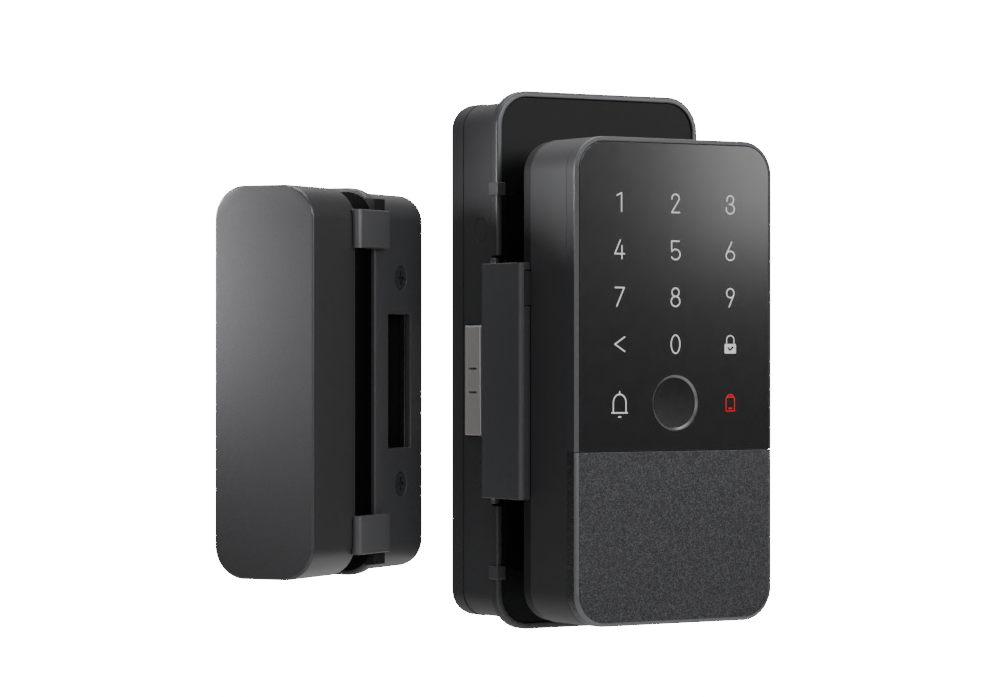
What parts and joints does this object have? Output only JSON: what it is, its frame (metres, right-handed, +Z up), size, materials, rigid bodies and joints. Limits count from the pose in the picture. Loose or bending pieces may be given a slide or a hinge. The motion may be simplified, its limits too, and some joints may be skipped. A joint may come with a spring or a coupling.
{
  "type": "glass door smart lock",
  "caption": "Clamp-on keypad lock for a frameless glass door: outdoor keypad, indoor lock body with sliding bolt and thumbturn, and a strike unit for the facing leaf.",
  "frame": {"origin": "inner face of the glass leaf, at the middle of the lock's width and at bolt height", "axes": "+X right seen from outside, +Y from outside into the room, +Z up; the glass leaf lies between Y = -12 mm and Y = 0"},
  "size_m": [0.1957, 0.0996, 0.1924],
  "materials": {
    "painted_shell": "black powder coat over die-cast alloy, fine grain, satin",
    "frame_trim": "grey satin coat on the bevelled frame",
    "grey_cap": "dark grey metallic paint with a fine fleck, satin",
    "touch_glass": "black-backed tempered glass, polished",
    "ring_metal": "polished bevelled ring",
    "dark_plastic": "moulded black plastic, fine grain, matt",
    "gloss_black": "smooth black plastic, glossy",
    "light_guide": "milky diffusing plastic",
    "circuit_board": "green solder mask, semi-gloss",
    "pad_rubber": "black rubber sheet, matt",
    "zinc_screw": "zinc-plated steel, satin",
    "black_screw": "black oxide steel, satin",
    "plate_steel": "black coated steel plate, satin",
    "bolt_steel": "satin nickel-plated bolt",
    "insert_steel": "hardened steel, ground",
    "spindle_steel": "turned steel, satin",
    "knob_metal": "dark grey anodised, satin",
    "gear_nylon": "natural nylon, matt",
    "gear_brass": "machined brass, satin",
    "motor_can": "nickel-plated can, satin",
    "battery_wrap": "printed sleeve, glossy",
    "contact_steel": "nickel-plated spring steel",
    "strike_paint": "mid grey metallic paint, satin",
    "keeper_steel": "stamped steel, satin",
    "magnet_metal": "nickel-plated magnet",
    "port_metal": "stamped steel, satin",
    "lamp_plastic": "clear tinted plastic"
  },
  "bodies": {
    "lock": {"outdoor_housing": "painted_shell", "outdoor_back_plate": "dark_plastic", "front_frame": "frame_trim", "lower_cap": "grey_cap", "glass_panel": "touch_glass", "fingerprint_ring": "ring_metal", "fingerprint_sensor": "gloss_black", "key_light_guides": "light_guide", "touch_board": "circuit_board", "speaker": "dark_plastic", "supply_port": "port_metal", "outdoor_pad": "pad_rubber", "outdoor_screws": "zinc_screw", "indoor_bezel": "frame_trim", "mounting_plate": "plate_steel", "indoor_pad": "pad_rubber", "indoor_housing": "painted_shell", "rear_cover": "dark_plastic", "battery_tray": "dark_plastic", "battery_cells": "battery_wrap", "battery_contacts": "contact_steel", "escutcheon_ring": "knob_metal", "gear_motor": "motor_can", "main_board": "circuit_board", "board_parts": "dark_plastic", "tact_switch": "dark_plastic", "status_light": "lamp_plastic", "side_plugs": "dark_plastic", "edge_clips": "plate_steel", "edge_cover": "dark_plastic", "link_cable": "gloss_black", "plate_screws": "zinc_screw", "cover_screws": "zinc_screw", "bolt_rails": "zinc_screw", "reed_sensor": "gloss_black"},
    "bolt_body": {"bolt": "bolt_steel", "rack_tail": "bolt_steel", "bolt_inserts": "insert_steel"},
    "turn_body": {"thumbturn": "knob_metal", "spindle": "spindle_steel", "spindle_wheel": "gear_nylon", "bolt_pinion": "spindle_steel"},
    "motor_pinion_body": {"motor_pinion": "gear_brass"},
    "battery_door_body": {"battery_door": "dark_plastic"},
    "button_body": {"setup_button": "knob_metal"},
    "strike_body": {"strike_cover": "strike_paint", "strike_outer_plate": "zinc_screw", "strike_outer_pad": "pad_rubber", "strike_inner_pad": "pad_rubber", "strike_plate": "painted_shell", "strike_box": "painted_shell", "strike_keeper": "keeper_steel", "strike_dust_box": "dark_plastic", "strike_screws": "black_screw", "strike_clamps": "plate_steel", "strike_clips": "dark_plastic", "strike_magnet": "magnet_metal"}
  },
  "joints": [
    {"name": "bolt_slide", "type": "slide", "parent": "lock", "child": "bolt_body", "axis": [-1, 0, 0], "range_m": [0, 0.014]},
    {"name": "thumbturn_turn", "type": "hinge", "parent": "lock", "child": "turn_body", "pos_m": [0, 0, 0], "axis": [0, 1, 0], "range_deg": [0, 90.5]},
    {"name": "motor_pinion_turn", "type": "hinge", "parent": "lock", "child": "motor_pinion_body", "pos_m": [0, 0.025, -0.0246], "axis": [0, 1, 0], "range_deg": [-301, 0]},
    {"name": "battery_door_slide", "type": "slide", "parent": "lock", "child": "battery_door_body", "axis": [0, 0, 1], "range_m": [0, 0.058]},
    {"name": "setup_press", "type": "slide", "parent": "lock", "child": "button_body", "axis": [0, -1, 0], "range_m": [0, 0.0006], "stiffness_N_per_m": 800},
    {"name": "strike_swing", "type": "hinge", "parent": "lock", "child": "strike_body", "pos_m": [-0.0706, 0.0415, 0], "axis": [0, 0, 1], "range_deg": [0, 58]}
  ],
  "couplings": [
    {"joint": "thumbturn_turn", "follows": "bolt_slide", "rad_per_m": 112.2},
    {"joint": "motor_pinion_turn", "follows": "bolt_slide", "rad_per_m": -374}
  ]
}
